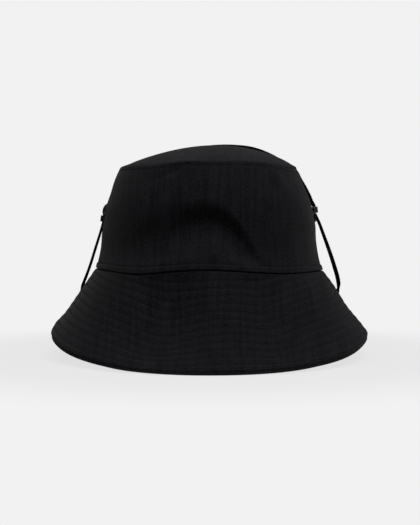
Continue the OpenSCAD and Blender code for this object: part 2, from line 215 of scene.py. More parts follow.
def thread_row(points, normals, length, gap, thick, sides=6):
    """The points of one row of stitches along a line of points on cloth; their ends dive into the cloth."""
    along = lengths_along(points, 0)
    count = max(1, int(along[-1] / (length + gap)))
    chance = np.random.default_rng(count)
    starts = (np.arange(count) + 0.5) * along[-1] / count - length / 2
    shares = np.array([0.0, 0.1, 0.5, 0.9, 1.0])
    heights = np.array([-0.30, 0.02, 0.14, 0.02, -0.30]) * MM
    radii = np.array([0.5, 0.95, 1.0, 0.95, 0.5]) * thick / 2
    at = starts[:, None] + shares * length * (1 + 0.1 * chance.uniform(-1, 1, (count, 1)))
    line = np.stack([np.interp(at, along, points[:, k]) for k in range(3)], axis=-1)
    up = unit(np.stack([np.interp(at, along, normals[:, k]) for k in range(3)], axis=-1))
    run = unit(np.gradient(line, axis=1))
    side = np.cross(run, up)
    line = line + up * heights[None, :, None] + side * 0.08 * MM * chance.uniform(-1, 1, (count, 1, 1))
    turn = TURN * np.arange(sides) / sides
    ring = side[:, :, None] * np.cos(turn)[:, None] + up[:, :, None] * np.sin(turn)[:, None]
    return line[:, :, None] + ring * radii[None, :, None, None]


def painted_hole_shade(points, normals, pitch, length, width, height):
    """The points of small dark beads between a row's stitches, where the thread goes down: painted shade in
    the needle holes.
    """
    along = lengths_along(points, 0)
    count = max(1, int(along[-1] / pitch))
    shares = np.array([-0.5, -0.25, 0.25, 0.5])
    radii = np.array([0.35, 1.0, 1.0, 0.35])
    at = (np.arange(count)[:, None] + shares * length / pitch) * along[-1] / count
    line = np.stack([np.interp(at, along, points[:, k]) for k in range(3)], axis=-1)
    up = unit(np.stack([np.interp(at, along, normals[:, k]) for k in range(3)], axis=-1))
    run = unit(line[:, 1:2] - line[:, 2:3])
    side = np.cross(np.broadcast_to(-run, up.shape), up)
    corners = TURN * np.arange(4) / 4
    ring = (side[:, :, None] * np.cos(corners)[:, None] * width / 2
            + up[:, :, None] * np.sin(corners)[:, None] * height / 2)
    return line[:, :, None] + ring * radii[None, :, None, None]


def stitching(name, rows):
    """One object of many rows of stitches."""
    stitches = np.concatenate(rows)
    count, rings, sides = stitches.shape[:3]
    r, c = grid_quads(rings, sides, False, True)
    quads = r * sides + c % sides
    first = np.arange(count)[:, None, None] * rings * sides
    caps = np.stack([np.arange(sides), np.arange((rings - 1) * sides, rings * sides)[::-1]])
    faces = (first + quads[None]).reshape(-1, 4).tolist() + (first + caps[None]).reshape(-1, sides).tolist()
    return new_object(name, stitches.reshape(-1, 3), faces)


# ---------------------------------------------------------------- materials

def node_material(name, roughness):
    """A material, its node tree and its shader."""
    material = bpy.data.materials.new(name)
    material.use_nodes = True
    shader = material.node_tree.nodes["Principled BSDF"]
    shader.inputs["Roughness"].default_value = roughness
    return material, material.node_tree, shader


def add(tree, kind, **values):
    """A node with its sockets set by name; a value that is a socket is linked."""
    node = tree.nodes.new(kind)
    for key, value in values.items():
        if key.startswith("set_"):
            setattr(node, key[4:], value)
            continue
        socket = node.inputs[int(key[1:])] if key[0] == "i" and key[1:].isdigit() else node.inputs[key]
        if isinstance(value, bpy.types.NodeSocket):
            tree.links.new(value, socket)
        else:
            socket.default_value = value
    return node


def maths(tree, operation, first, second=0.0, third=0.0):
    """The result of a Math node."""
    return add(tree, "ShaderNodeMath", set_operation=operation, i0=first, i1=second, i2=third).outputs[0]


def stretched_noise(tree, coordinates, scale, detail=2.0):
    """Noise whose grain is 1 / scale wide along each axis."""
    place = add(tree, "ShaderNodeMapping", Vector=coordinates, Scale=scale).outputs[0]
    return add(tree, "ShaderNodeTexNoise", Vector=place, Scale=1.0, Detail=detail).outputs["Fac"]


def woven(name, dark, light, twill_mm, streaks=0.3, sheen=0.1, bump=0.35, roughness=0.9):
    """Woven cloth: twill lines, uneven upright yarns, soft mottling and a fine nap."""
    material, tree, shader = node_material(name, roughness)
    cloth = add(tree, "ShaderNodeUVMap", set_uv_map="cloth").outputs[0]
    split = add(tree, "ShaderNodeSeparateXYZ", Vector=cloth)
    across, along = split.outputs[0], split.outputs[1]
    pitch = TURN / (twill_mm * MM)
    slant = maths(tree, "MULTIPLY_ADD", along, pitch * 0.6, maths(tree, "MULTIPLY", across, pitch))
    wander = maths(tree, "MULTIPLY", stretched_noise(tree, cloth, (500, 160, 1)), 2.5)
    ridges = maths(tree, "MULTIPLY_ADD", maths(tree, "SINE", maths(tree, "ADD", slant, wander)), 0.5, 0.5)
    yarns = stretched_noise(tree, cloth, (1300, 60, 1), 3.0)
    wide_yarns = stretched_noise(tree, cloth, (340, 20, 1), 2.0)
    mottle = stretched_noise(tree, cloth, (70, 70, 1), 3.0)
    speck = stretched_noise(tree, cloth, (900, 520, 1), 2.0)
    body = maths(tree, "MULTIPLY", ridges, 0.25)
    for grain, share in ((yarns, streaks), (wide_yarns, streaks * 1.6), (mottle, 0.3), (speck, 1.1)):
        body = maths(tree, "MULTIPLY_ADD", maths(tree, "SUBTRACT", grain, 0.5), share * 2, body)
    shade = maths(tree, "ADD", body, 0.35)
    tint = add(tree, "ShaderNodeMix", set_data_type="RGBA", Factor=shade, i6=(*dark, 1), i7=(*light, 1))
    tree.links.new(tint.outputs[2], shader.inputs["Base Color"])
    height = maths(tree, "MULTIPLY_ADD", yarns, 0.7, ridges)
    relief = add(tree, "ShaderNodeBump", Strength=bump, Distance=0.15 * MM, Height=height)
    tree.links.new(relief.outputs[0], shader.inputs["Normal"])
    shader.inputs["Sheen Weight"].default_value = sheen
    shader.inputs["Sheen Roughness"].default_value = 0.45
    shader.inputs["Sheen Tint"].default_value = (1.0, 0.97, 1.0, 1)
    shader.inputs["Specular IOR Level"].default_value = 0.12
    return material


def grained(name, colour, roughness, metallic=0.0, grain=4000, spread=0.25, bump=0.1, coat=0.0):
    """Metal or plastic with a fine grain in its tone, gloss and surface."""
    material, tree, shader = node_material(name, roughness)
    place = add(tree, "ShaderNodeTexCoord").outputs["Object"]
    fine = add(tree, "ShaderNodeTexNoise", Vector=place, Scale=float(grain), Detail=4.0).outputs["Fac"]
    broad = add(tree, "ShaderNodeTexNoise", Vector=place, Scale=grain / 12, Detail=3.0).outputs["Fac"]
    both = maths(tree, "MULTIPLY_ADD", broad, 0.6, maths(tree, "MULTIPLY", fine, 0.4))
    dark = [c * (1 - spread) for c in colour]
    light = [c * (1 + spread) for c in colour]
    tint = add(tree, "ShaderNodeMix", set_data_type="RGBA", Factor=both, i6=(*dark, 1), i7=(*light, 1))
    tree.links.new(tint.outputs[2], shader.inputs["Base Color"])
    gloss = maths(tree, "MULTIPLY_ADD", both, 0.25, roughness - 0.12)
    tree.links.new(gloss, shader.inputs["Roughness"])
    relief = add(tree, "ShaderNodeBump", Strength=bump, Distance=0.05 * MM, Height=fine)
    tree.links.new(relief.outputs[0], shader.inputs["Normal"])
    shader.inputs["Metallic"].default_value = metallic
    shader.inputs["Coat Weight"].default_value = coat
    return material


def twisted(name, dark, light, ply_mm, sheen=0.2, shine=0.3):
    """Thread or braid: short slanting strands with a darker gap between them."""
    material, tree, shader = node_material(name, 0.75)
    place = add(tree, "ShaderNodeTexCoord").outputs["Object"]
    strands = add(tree, "ShaderNodeTexWave", Vector=place, Scale=0.314 / (ply_mm * MM), Distortion=4.0,
                  set_bands_direction="DIAGONAL").outputs["Fac"]
    fluff = add(tree, "ShaderNodeTexNoise", Vector=place, Scale=2500.0, Detail=3.0).outputs["Fac"]
    shade = maths(tree, "MULTIPLY_ADD", fluff, 0.5, maths(tree, "MULTIPLY", strands, 0.5))
    tint = add(tree, "ShaderNodeMix", set_data_type="RGBA", Factor=shade, i6=(*dark, 1), i7=(*light, 1))
    tree.links.new(tint.outputs[2], shader.inputs["Base Color"])
    relief = add(tree, "ShaderNodeBump", Strength=0.3, Distance=0.1 * MM, Height=strands)
    tree.links.new(relief.outputs[0], shader.inputs["Normal"])
    shader.inputs["Sheen Weight"].default_value = sheen
    shader.inputs["Specular IOR Level"].default_value = shine
    return material


TWILL = woven("twill", (0.0026, 0.0023, 0.0029), (0.0148, 0.0130, 0.0165), 0.75, streaks=0.36, sheen=0.07)
LINING = woven("lining", (0.010, 0.010, 0.011), (0.022, 0.022, 0.024), 0.35, streaks=0.2, sheen=0.1)
BAND = woven("sweatband", (0.009, 0.0085, 0.009), (0.024, 0.023, 0.024), 0.9, streaks=0.3, sheen=0.1)
STIFFENER = woven("interlining", (0.09, 0.09, 0.09), (0.15, 0.15, 0.15), 1.0, sheen=0.1)
LABEL = woven("label", (0.022, 0.022, 0.022), (0.045, 0.045, 0.045), 0.4, streaks=0.1, sheen=0.2,
              roughness=0.5)
# Brim thread darker than the cloth: dark thread, and painted shade of the grooves it lies in.
SHADED_ROW_THREAD = twisted("thread", (0.0026, 0.0023, 0.0028), (0.0085, 0.0076, 0.0090), 0.3, sheen=0.0)
# Seam thread lighter than the cloth: painted highlight of stitches catching the light.
HIGHLIT_SEAM_STITCHES = twisted("seam_thread", (0.006, 0.0056, 0.0066), (0.022, 0.0205, 0.0235), 0.3, sheen=0.0)
# Near-black beads in the needle holes: painted shade.
HOLE_SHADE = twisted("thread_in_shade", (0.0008, 0.0008, 0.0008), (0.002, 0.002, 0.002), 0.3, sheen=0.0)
CORD = twisted("cord", (0.0010, 0.0010, 0.0010), (0.0040, 0.0040, 0.0042), 0.8, sheen=0.0, shine=0.02)
GUNMETAL = grained("gunmetal", (0.070, 0.070, 0.074), 0.22, metallic=1.0, grain=3000, coat=0.3)
PLASTIC = grained("lock_plastic", (0.012, 0.012, 0.012), 0.42, grain=5000, bump=0.3)
SPRING = grained("spring_steel", (0.55, 0.55, 0.56), 0.25, metallic=1.0, grain=4000)


def finish_piece(obj, material, slot, *nodes, body="hat"):
    """Gives a piece its material (its slot is not used), makes it stand for its nodes, and lets it ride on
    its body.
    """
    obj.data.materials.clear()
    obj.data.materials.append(material)
    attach(obj, body)
    if nodes:
        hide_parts(*nodes)
    return obj


# ---------------------------------------------------------------- cords

RIGHT_GUIDE = (0.0859, 0, 0.1186)
LEFT_GUIDE = (-0.0868, 0.0001, 0.1113)
CROWN_ROUTE = [
    RIGHT_GUIDE, (0.0853, 0.0004, 0.1226), (0.0839, 0.002, 0.130), (0.0812, 0.006, 0.138),
    (0.0778, 0.011, 0.145), (0.075, 0.0155, 0.151), (0.0702, 0.0175, 0.1566), (0.062, 0.015, 0.160),
    (0.052, 0.011, 0.1642),
    (0.040, 0.007, 0.1683), (0.028, 0.005, 0.1714), (0.015, 0.008, 0.1733), (0.001, 0.016, 0.1735),
    (-0.014, 0.026, 0.1715), (-0.029, 0.034, 0.1678), (-0.044, 0.039, 0.163), (-0.057, 0.041, 0.1583),
    (-0.0665, 0.040, 0.154), (-0.071, 0.0355, 0.148), (-0.0746, 0.0316, 0.1424), (-0.0776, 0.0284, 0.1366),
    (-0.0802, 0.0244, 0.1312), (-0.0825, 0.0198, 0.1266), (-0.0843, 0.0149, 0.1232),
    (-0.0861, 0.0098, 0.1214), (-0.0868, 0.0064, 0.120), (-0.0871, 0.0038, 0.1185),
    (-0.087, 0.0019, 0.1166), (-0.0867, 0.0007, 0.1144), LEFT_GUIDE]
RIGHT_DROP = [
    RIGHT_GUIDE, (0.0864, 0, 0.1152), (0.0878, 0.0002, 0.1118), (0.090, 0.0006, 0.107),
    (0.0932, 0.0012, 0.0985), (0.0966, 0.002, 0.0895), (0.100, 0.003, 0.080), (0.103, 0.0045, 0.071),
    (0.1054, 0.007, 0.0635),
    (0.1068, 0.0105, 0.0575), (0.1072, 0.016, 0.0532)]
LEFT_DROP = [
    LEFT_GUIDE, (-0.0874, 0.0002, 0.1082), (-0.0892, 0.0008, 0.1015), (-0.0918, 0.0018, 0.0935),
    (-0.0949, 0.003, 0.084), (-0.098, 0.0045, 0.0745), (-0.1012, 0.0065, 0.066), (-0.1042, 0.0095, 0.059),
    (-0.1066, 0.015, 0.0535)]
BACK_ROUTE = [
    (0.1072, 0.024, 0.0502), (0.106, 0.0355, 0.0464), (0.1032, 0.0485, 0.0416), (0.0985, 0.062, 0.0362),
    (0.0915, 0.076, 0.0304), (0.0815, 0.090, 0.0246), (0.068, 0.1045, 0.0186), (0.0525, 0.117, 0.0133),
    (0.0355, 0.128, 0.0092), (0.020, 0.1365, 0.007), (0.0095, 0.1435, 0.0068), (0.0035, 0.149, 0.0068),
    (0.0016, 0.155, 0.0068), (0.0016, 0.162, 0.0068), (0.0016, 0.170, 0.0068), (0.0016, 0.180, 0.0068),
    (0.0016, 0.194, 0.0068), (0.0026, 0.201, 0.0058), (0.0055, 0.208, 0.0038), (0.009, 0.216, 0.0022),
    (0.012, 0.224, 0.0018)]
CORD_WIDE = 3.7 * MM
CORD_THICK = 1.9 * MM
CORD_STEP = 0.55 * MM
CROWN_MIDDLE = np.array([0, 0, 0.08])


def mirrored(route):
    """A route on the other side of the hat."""
    return [(-x, y, z) for x, y, z in route]


def facing_normals(line, keys):
    """A line's directions, and those that a flat cord's face looks in. keys: (share of its length, look)."""
    share = np.linspace(0, 1, len(line))
    at = [k for k, _ in keys]
    looks = np.stack([np.interp(share, at, [d[i] for _, d in keys]) for i in range(3)], axis=1)
    run = unit(np.gradient(line, axis=0))
    looks -= run * (looks * run).sum(1)[:, None]
    return run, unit(looks)


def braid(name, line, keys, wide=CORD_WIDE, thick=CORD_THICK, sides=32, relief=0.085):
    """A flat braided tube along a line of points: two sets of strands that cross over each other."""
    run, looks = facing_normals(line, keys)
    across = np.cross(run, looks)
    turn = TURN * np.arange(sides) / sides
    flatness = 0.75
    x = np.sign(np.cos(turn)) * np.abs(np.cos(turn)) ** flatness * wide / 2
    y = np.sign(np.sin(turn)) * np.abs(np.sin(turn)) ** flatness * thick / 2
    along = lengths_along(line, 0)[:, None]
    strands, pitch = 5, 2.6 * MM
    swing = TURN * along / pitch
    over = np.maximum(np.cos(strands * turn[None] + swing), np.cos(strands * turn[None] - swing))
    puff = 1 + relief * (over - 0.6)
    points = (line[:, None] + across[:, None] * (x[None] * puff)[..., None]
              + looks[:, None] * (y[None] * puff)[..., None])
    rows = len(line)
    r, c = grid_quads(rows, sides, False, True)
    faces = (r * sides + c % sides).tolist()
    faces += [list(range(sides)), list(range((rows - 1) * sides, rows * sides))[::-1]]
    return new_object(name, points.reshape(-1, 3), faces)


def trefoil(centre, size, points=220):
    """The closed curve of a simple overhand knot."""
    t = TURN * np.arange(points + 1) / points
    x, y = np.sin(t) + 2 * np.sin(2 * t), np.cos(t) - 2 * np.cos(2 * t)
    curve = np.stack([x, y, -1.25 * np.sin(3 * t)], axis=1)
    return np.array(centre) + curve * size


def make_knot(name, side):
    """An overhand knot at a cord's end."""
    centre = (side * 0.0132, 0.2268, 0.0034)
    knot = braid(name, trefoil(centre, 0.78 * MM), [(0, (0, 0, 1)), (1, (0, 0, 1))], 2.3 * MM, 1.9 * MM, 16)
    return finish_piece(knot, CORD, "cord", "cord_end_knots")


def cord_pull(z, a):
    """How far the wall's sides are drawn in, by the taut cord on the right shoulder and above the guides."""
    right = 2.3 * step_up(z, 0.117, 0.141) - 1.2 * hump(z, 0.106, 0.009) + 0.9 * hump(z, 0.078, 0.010)
    left = 1.1 * hump(z, 0.132, 0.009) - 0.9 * hump(z, 0.100, 0.010)
    return MM * (right * round_hump(a, 90, 36) + left * round_hump(a, -90, 30))


def bedded(line):
    """Moves a line of points inwards with the cloth that a taut cord draws in."""
    a = np.arctan2(line[:, 0], -line[:, 1])
    rho = np.minimum(np.hypot(line[:, 0] / 0.075, line[:, 1] / 0.083), 1)
    on_dome = np.where(line[:, 2] > 0.150, rho ** 4, 1)
    pull = np.maximum(cord_pull(np.minimum(line[:, 2], 0.152), a), 0)
    inward = pull * on_dome * step_up(line[:, 2], 0.117, 0.126)
    level = np.stack([np.sin(a), -np.cos(a), np.zeros_like(a)], axis=1)
    over_dome = step_up(line[:, 2], 0.150, 0.158)
    proud = hump(line[:, 0], 0.042, 0.022)
    sink = MM * (1.2 * over_dome + 1.0 * step_up(line[:, 2], 0.121, 0.127) - 1.8 * over_dome * proud)
    return line - level * inward[:, None] - sink[:, None] * unit(line - CROWN_MIDDLE)


def make_cords():
    """The cord over the crown and its two halves down to the back, with their knots."""
    crown_line = bedded(smoothed(CROWN_ROUTE, CORD_STEP))
    crown = braid("crown_cord_braid", crown_line, [
        (0, (1, -0.6, 0.1)), (0.02, (0.7, -1, 0.2)), (0.07, (0.8, -1, 0.3)), (0.13, (1, -0.5, 0.5)),
        (0.2, (0.7, -0.2, 1)), (0.24, (0.3, -0.5, 0.85)), (0.32, (0.2, -0.5, 0.85)), (0.4, (0, 0, 1)),
        (0.7, (-0.3, 0.4, 1)), (0.8, (-0.9, 0.5, 0.4)),
        (0.88, (-1, 0.35, 0.3)), (0.95, (-1, 0.1, 0.4)), (1, (-1, -0.2, 0.1))])
    finish_piece(crown, CORD, "cord", "crown_cord")
    twist_shares = (0, 0.03, 0.08, 0.14, 0.19)
    twists = {"right": (0.35, 0.55, 0.9, 1.6, 2.5), "left": (0.2, 0.3, 0.35, 0.4, 0.5)}
    for side, word, drop, back, length in ((1, "right", RIGHT_DROP, BACK_ROUTE, 0.337),
                                           (-1, "left", LEFT_DROP, mirrored(BACK_ROUTE), 0.329)):
        line = smoothed(drop + back, CORD_STEP)
        keys = [(share, (side, -twist, 0.2)) for share, twist in zip(twist_shares, twists[word])]
        keys += [(0.235, (side * 0.8, -0.5, 0.6)), (0.32, (side * 0.5, 0.2, 1)),
                 (0.5, (side * 0.2, 0.5, 1)), (0.58, (0, 0.2, 1)), (0.63, (side, 0, 0.1)),
                 (0.8, (side, 0, 0.05)), (0.88, (side * 0.6, 0.1, 0.8)), (1, (0, 0.2, 1))]
        cord = braid(f"chin_cord_{word}_braid", line, keys)
        finish_piece(cord, CORD, "cord", f"chin_cord_{word}")
        knot = make_knot(f"end_knot_{word}", side)
        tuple(drop[0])


make_cords()


# ---------------------------------------------------------------- the hat's surfaces

wall_low, wall_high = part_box("crown_front_panel")
tip_low, tip_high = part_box("tip_panel")
brim_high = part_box("brim_top_layer")[1]
BASE_HALF_W, BASE_HALF_L = wall_high.x, -wall_low.y
TIP_HALF_W, TIP_HALF_L = tip_high.x, tip_high.y
BASE_Z, CROWN_H = wall_low.z, wall_high.z - wall_low.z
PANEL_T = 1.0 * MM
TIP_Z = wall_high.z
DOME_RISE = tip_high.z - tip_low.z - PANEL_T
SPREAD_SIDE, SPREAD_FRONT = brim_high.x - BASE_HALF_W, brim_high.y - BASE_HALF_L
SIDE_LIFT = 18 * MM
BULGE, FLARE = 2.3 * MM, 1.8 * MM
LAYER_T, LINING_T = 0.6 * MM, 0.4 * MM
BRIM_T = 2.4 * MM
ROWS = 12
HIGHEST_ROW, LOWEST_ROW = 76.5 * MM, 7.5 * MM
ROW_PITCH = (HIGHEST_ROW - LOWEST_ROW) / (ROWS - 1)
HIDDEN_ROW = 0.03
WALL_STITCH, TIP_WALL_STITCH, TIP_STITCH = 0.05, 0.972, 0.958


def base_wave(a):
    """How far the base seam rises and falls round the hat."""
    return MM * (1.7 * round_hump(a, -2, 19) - 2.3 * round_hump(a, -38, 17) - 1.9 * round_hump(a, 42, 22)
                 + 0.3 * round_hump(a, -88, 18) - 1.6 * round_hump(a, 88, 20) + 1.3 * round_hump(a, 150, 30)
                 - 1.2 * round_hump(a, -150, 34))


def tip_wave(a):
    """How far the tip seam rises and falls round the hat."""
    return MM * (1.7 * round_hump(a, -12, 14) - 0.9 * round_hump(a, -42, 16) + 1.6 * round_hump(a, 22, 20)
                 - 0.8 * round_hump(a, 58, 12) + 0.8 * round_hump(a, 160, 30)
                 - 0.8 * round_hump(a, 120, 24))


def wall_half(base, tip, t):
    """Half the crown wall's width or length at a share of its height."""
    return mix(base, tip, t) + BULGE * np.sin(np.pi * t) - FLARE * np.sin(TURN * t)


def plain_wall(t, a):
    """The crown wall before its folds, t from 0 at the base seam to 1 at the tip seam."""
    half_w = wall_half(BASE_HALF_W, TIP_HALF_W, t)
    half_l = wall_half(BASE_HALF_L, TIP_HALF_L, t)
    z = BASE_Z + CROWN_H * t + base_wave(a) * (1 - t) ** 3 + tip_wave(a) * t ** 3
    return np.stack([half_w * np.sin(a), -half_l * np.cos(a), z], axis=-1)


def front_dent(x, z):
    """The arch-shaped dent in the front of the crown: deepest under the arch, easing out to the base seam.
    Its left leg, seen from the front, is broad and soft, and its right one is narrow."""
    right = np.maximum(x + 0.002, 0) / 0.036
    left = np.maximum(-0.002 - x, 0) / 0.060
    arch = 0.1145 - 0.030 * right ** 2.1 - 0.018 * left ** 1.5
    below = arch - z
    soft = MM * (11 + 7 * step_up(-x, 0.012, 0.042) - 4.5 * step_up(x, 0.005, 0.030))
    easing = step_up(below, 0.010, 0.034 + 0.1 * np.maximum(-x, 0))
    inward = step_up(below, -soft, 0.8 * soft) * (1 - easing)
    broad = mix(hump(x, -0.002, 0.036), hump(x, -0.002, 0.060), 0.35)
    across = np.where(x > -0.002, hump(x, -0.002, 0.040), broad)
    return 7.9 * MM * inward * across * step_up(z, 0.074, 0.084)


def crease(x, z, start, end, depth, width):
    """A narrow crease in the front of the crown between two places (x, z)."""
    start, end = np.array(start), np.array(end)
    run = end - start
    k = np.clip(((x - start[0]) * run[0] + (z - start[1]) * run[1]) / (run @ run), 0, 1)
    away = np.hypot(x - start[0] - k * run[0], z - start[1] - k * run[1])
    return depth * hump(away, 0, width) * np.sin(np.pi * np.clip(k, 0.12, 0.88))


def wall_folds(t, a):
    """How far the crown wall's cloth stands out from its plain shape."""
    x = wall_half(BASE_HALF_W, TIP_HALF_W, t) * np.sin(a)
    z = BASE_Z + CROWN_H * t
    front = step_up(np.cos(a), 0.2, 0.5)
    out = -front_dent(x, z) * front - cord_pull(z, a)
    out -= front * crease(x, z, (-0.044, 0.1405), (-0.017, 0.1500), 1.1 * MM, 2.6 * MM)
    out += front * crease(x, z, (0.050, 0.1500), (0.062, 0.1270), 0.8 * MM, 4.5 * MM)
    out -= front * crease(x, z, (0.044, 0.1470), (0.053, 0.1230), 0.6 * MM, 4.0 * MM)
    out -= front * crease(x, z, (-0.060, 0.090), (-0.034, 0.106), 1.0 * MM, 8.0 * MM)
    soft = np.sin(3 * a + 0.6) * np.sin(np.pi * t) + 0.6 * np.sin(5 * a + 2.1 + 2.4 * t) * np.sin(np.pi * t)
    soft += 0.45 * np.sin(9 * a + 4 * t + 0.8) * np.sin(np.pi * t) * (1 - t)
    out += 0.45 * MM * soft
    out += 0.55 * MM * (1 - step_up(t, 0.034, WALL_STITCH))
    for row, width in ((WALL_STITCH, 0.008), (TIP_WALL_STITCH, 0.007)):
        out -= 0.35 * MM * hump(t, row, width)
    seam_away = np.abs(np.abs((np.degrees(a) + 180) % 360 - 180) - 90) * 1.6 * MM
    out -= 0.55 * MM * hump(seam_away, 0, 0.9 * MM)
    out += 0.25 * MM * hump(seam_away, 3.5 * MM, 2.5 * MM)
    return out


def wall_face(t, a):
    """The crown wall's outer face with its folds."""
    return plain_wall(t, a) + normal_of(plain_wall, t, a, 1) * wall_folds(t, a)[..., None]


def wall_normal(t, a):
    return normal_of(wall_face, t, a, 1)


def plain_dome(rho, a):
    """The tip before its folds, rho from 0 in its middle to 1 at its seam. Its top is just to the right."""
    up = 0.92 * DOME_RISE * (1 - rho ** 2) - 0.4 * MM * hump(rho, 0.93, 0.07)
    lean = 5 * MM * (1 - rho ** 2)
    inward = cord_pull(TIP_Z, a) * rho ** 4
    z = TIP_Z + PANEL_T + up + tip_wave(a) * rho ** 6
    x = (TIP_HALF_W * rho - inward) * np.sin(a) + lean
    return np.stack([x, -(TIP_HALF_L * rho - inward) * np.cos(a), z], axis=-1)


def dome_folds(rho, a):
    """How far the tip's cloth stands out from its plain shape."""
    soft = 4 * np.sin(2 * a + 1.1) * rho ** 2 * (1 - rho)
    soft += 3 * np.sin(5 * a + 0.4) * rho ** 3 * (1 - rho)
    out = 0.6 * MM * soft - 0.3 * MM * hump(rho, TIP_STITCH, 0.010)
    return out - 0.5 * MM * step_up(rho, 0.985, 1.0)


def dome_face(rho, a):
    """The tip's outer face with its folds."""
    return plain_dome(rho, a) + normal_of(plain_dome, rho, a, -1) * dome_folds(rho, a)[..., None]


def dome_normal(rho, a):
    return normal_of(dome_face, rho, a, -1)


def plain_brim(s, a):
    """The brim's outer face before its folds, s from 0 at the base seam to 1 at its edge."""
    bell = np.cos(a) ** 2
    side = np.abs(np.sin(a))
    edge = SIDE_LIFT * side ** 3 + 2.7 * MM * (1 - step_up(side, 0.55, 0.9))
    edge -= MM * (0.6 * round_hump(a, 34, 14) + 0.6 * round_hump(a, -34, 14) + 0.7 * round_hump(a, 50, 18))
    in_front = np.cos(a) > 0
    spread = mix(SPREAD_SIDE * s, SPREAD_FRONT * s ** np.where(in_front, 1.5, 2.2), bell)
    fall = mix(1 - s, (1 - s) ** np.where(in_front, 1.1, 1.25), bell)
    z = edge + (BASE_Z - edge) * fall + base_wave(a) * (1 - s) ** 2
    return np.stack([(BASE_HALF_W + spread) * np.sin(a), -(BASE_HALF_L + spread) * np.cos(a), z], axis=-1)


def brim_waves(s, a):
    """The brim's slow waves: a trough each side of its front, which is straighter down, and smaller ones."""
    middle = np.sin(np.pi * np.clip(s, 0, 1))
    out = 0.6 * round_hump(a, 8, 10) - 7.0 * round_hump(a, -20, 14) - 3.4 * round_hump(a, 25, 11)
    out += 0.6 * round_hump(a, -52, 12) + 1.4 * round_hump(a, 56, 16) - 1.0 * round_hump(a, 120, 22)
    out += 1.2 * round_hump(a, 168, 24) - 1.1 * round_hump(a, -128, 26)
    straighter = 2.2 * round_hump(a, 2, 55) * hump(s, 0.30, 0.24)
    ear = 1.8 * round_hump(a, -90, 22) * hump(s, 0.86, 0.12)
    ear -= 1.6 * round_hump(a, 90, 24) * hump(s, 0.55, 0.22)
    return MM * (out * middle + straighter + ear) - cord_pull(BASE_Z, a) * (1 - s) ** 3


LENGTH_ANGLES = np.linspace(-np.pi, np.pi, 361)
LENGTH_SHARES = np.linspace(0, 1, 60)[:, None]
BRIM_LENGTHS = lengths_along(plain_brim(LENGTH_SHARES, LENGTH_ANGLES[None]), 0)[-1]


def brim_length(a):
    """Length of the brim's cloth from the base seam to its edge."""
    return np.interp((a + np.pi) % TURN - np.pi, LENGTH_ANGLES, BRIM_LENGTHS)


def row_wobble(row, a):
    """How far a row of stitching strays down the brim, as a share of its width."""
    share = row / (ROWS - 1)
    sway = 0.005 * np.sin(3 * a + 0.4 * row) + 0.003 * np.sin(7 * a + 1.3 * row)
    drop = 0.064 * round_hump(a, -20, 14) + 0.020 * round_hump(a, -44, 12)
    drop += 0.044 * round_hump(a, 25, 11) - 0.006 * round_hump(a, 8, 10)
    return (sway + drop) * np.sin(np.pi * mix(0.15, 0.86, share))


def row_share(row, a):
    """Where a row of stitching is on the brim. It keeps its distance from the edge, but for its wobble."""
    gap = mix(HIGHEST_ROW, LOWEST_ROW, row / (ROWS - 1))
    return 1 - gap / brim_length(a) + row_wobble(row, a)


def row_relief(s, a):
    """1 on a row of stitching and 0 half way to the next: a narrow groove, and a wide hollow."""
    groove, hollow = 0, 0
    for row in range(ROWS):
        away = (s - row_share(row, a)) * brim_length(a) / ROW_PITCH
        groove = groove + hump(away, 0, 0.10)
        hollow = hollow + hump(away, 0, 0.34)
    return groove, hollow


def edge_roll(s):
    """How far the brim's outer face turns in at its edge, under a low ridge, and under the crown."""
    tucked = 1.6 * (1 - step_up(s, 0.006, 0.028))
    return MM * (2.3 * step_up(s, 0.958, 0.998) + 0.5 * hump(s, 0.957, 0.006) + tucked)


def brim_folds(s, a):
    """How far the brim's cloth stands out from its plain shape."""
    groove, hollow = row_relief(s, a)
    return brim_waves(s, a) - 0.30 * MM * groove - 0.27 * MM * hollow - edge_roll(s)


def brim_face(s, a):
    """The brim's outer face with its folds."""
    return plain_brim(s, a) + normal_of(plain_brim, s, a, -1) * brim_folds(s, a)[..., None]


def brim_normal(s, a):
    return normal_of(brim_face, s, a, -1)


def inside_brim(depth):
    """A surface depth inside the brim's face. It is moved level, so that the layers end at one height."""
    def face(s, a):
        outward = brim_normal(s, a)
        level = np.stack([np.sin(a), -np.cos(a), np.zeros_like(a)], axis=-1)
        slope = np.maximum((outward * level).sum(-1, keepdims=True), 0.42)
        return brim_face(s, a) - level * depth / slope
    return face


def brim_under(s, a):
    """The brim's lower face, which the rows of stitching draw up."""
    groove, hollow = row_relief(s, a)
    puff = 0.20 * MM * groove + 0.14 * MM * hollow
    return inside_brim(BRIM_T - 0.2 * MM)(s, a) + brim_normal(s, a) * puff[..., None]


def lowered(face, outward, depth):
    """The surface that lies depth inside another one."""
    return lambda u, a: face(u, a) - outward(u, a) * depth


# ---------------------------------------------------------------- the hat's cloth

def ring_angles(count):
    """Even angles once round the hat, from its back."""
    return np.arange(count) * TURN / count - np.pi


def wall_sheet(name, depth, thick, start, end, angles, ring, rows=60):
    """A sheet inside the crown wall, from start to end of its height."""
    face = lowered(wall_face, wall_normal, depth)
    return shell(name, face, wall_normal, thick, graded(end, start, rows), angles, ring, 1)


def make_crown():
    """The crown's wall, front and back, with the lining of each."""
    half = graded(-np.pi / 2, np.pi / 2, 250, (-np.pi / 2, np.pi / 2), 0.03, 8)
    rows = graded(1, 0, 110, (WALL_STITCH, TIP_WALL_STITCH, 0.04), 0.02)
    lining_half = np.linspace(-np.pi / 2, np.pi / 2, 160)
    for word, turned in (("front", 0), ("back", np.pi)):
        panel = shell(f"crown_{word}_cloth", wall_face, wall_normal, PANEL_T, rows, half + turned, False)
        finish_piece(panel, TWILL, "twill", f"crown_{word}_panel")
        lining = wall_sheet(f"crown_{word}_lining_cloth", 1.15 * MM, LINING_T, 0.02, 0.985,
                            lining_half + turned, False)
        finish_piece(lining, LINING, "lining", f"crown_{word}_lining")


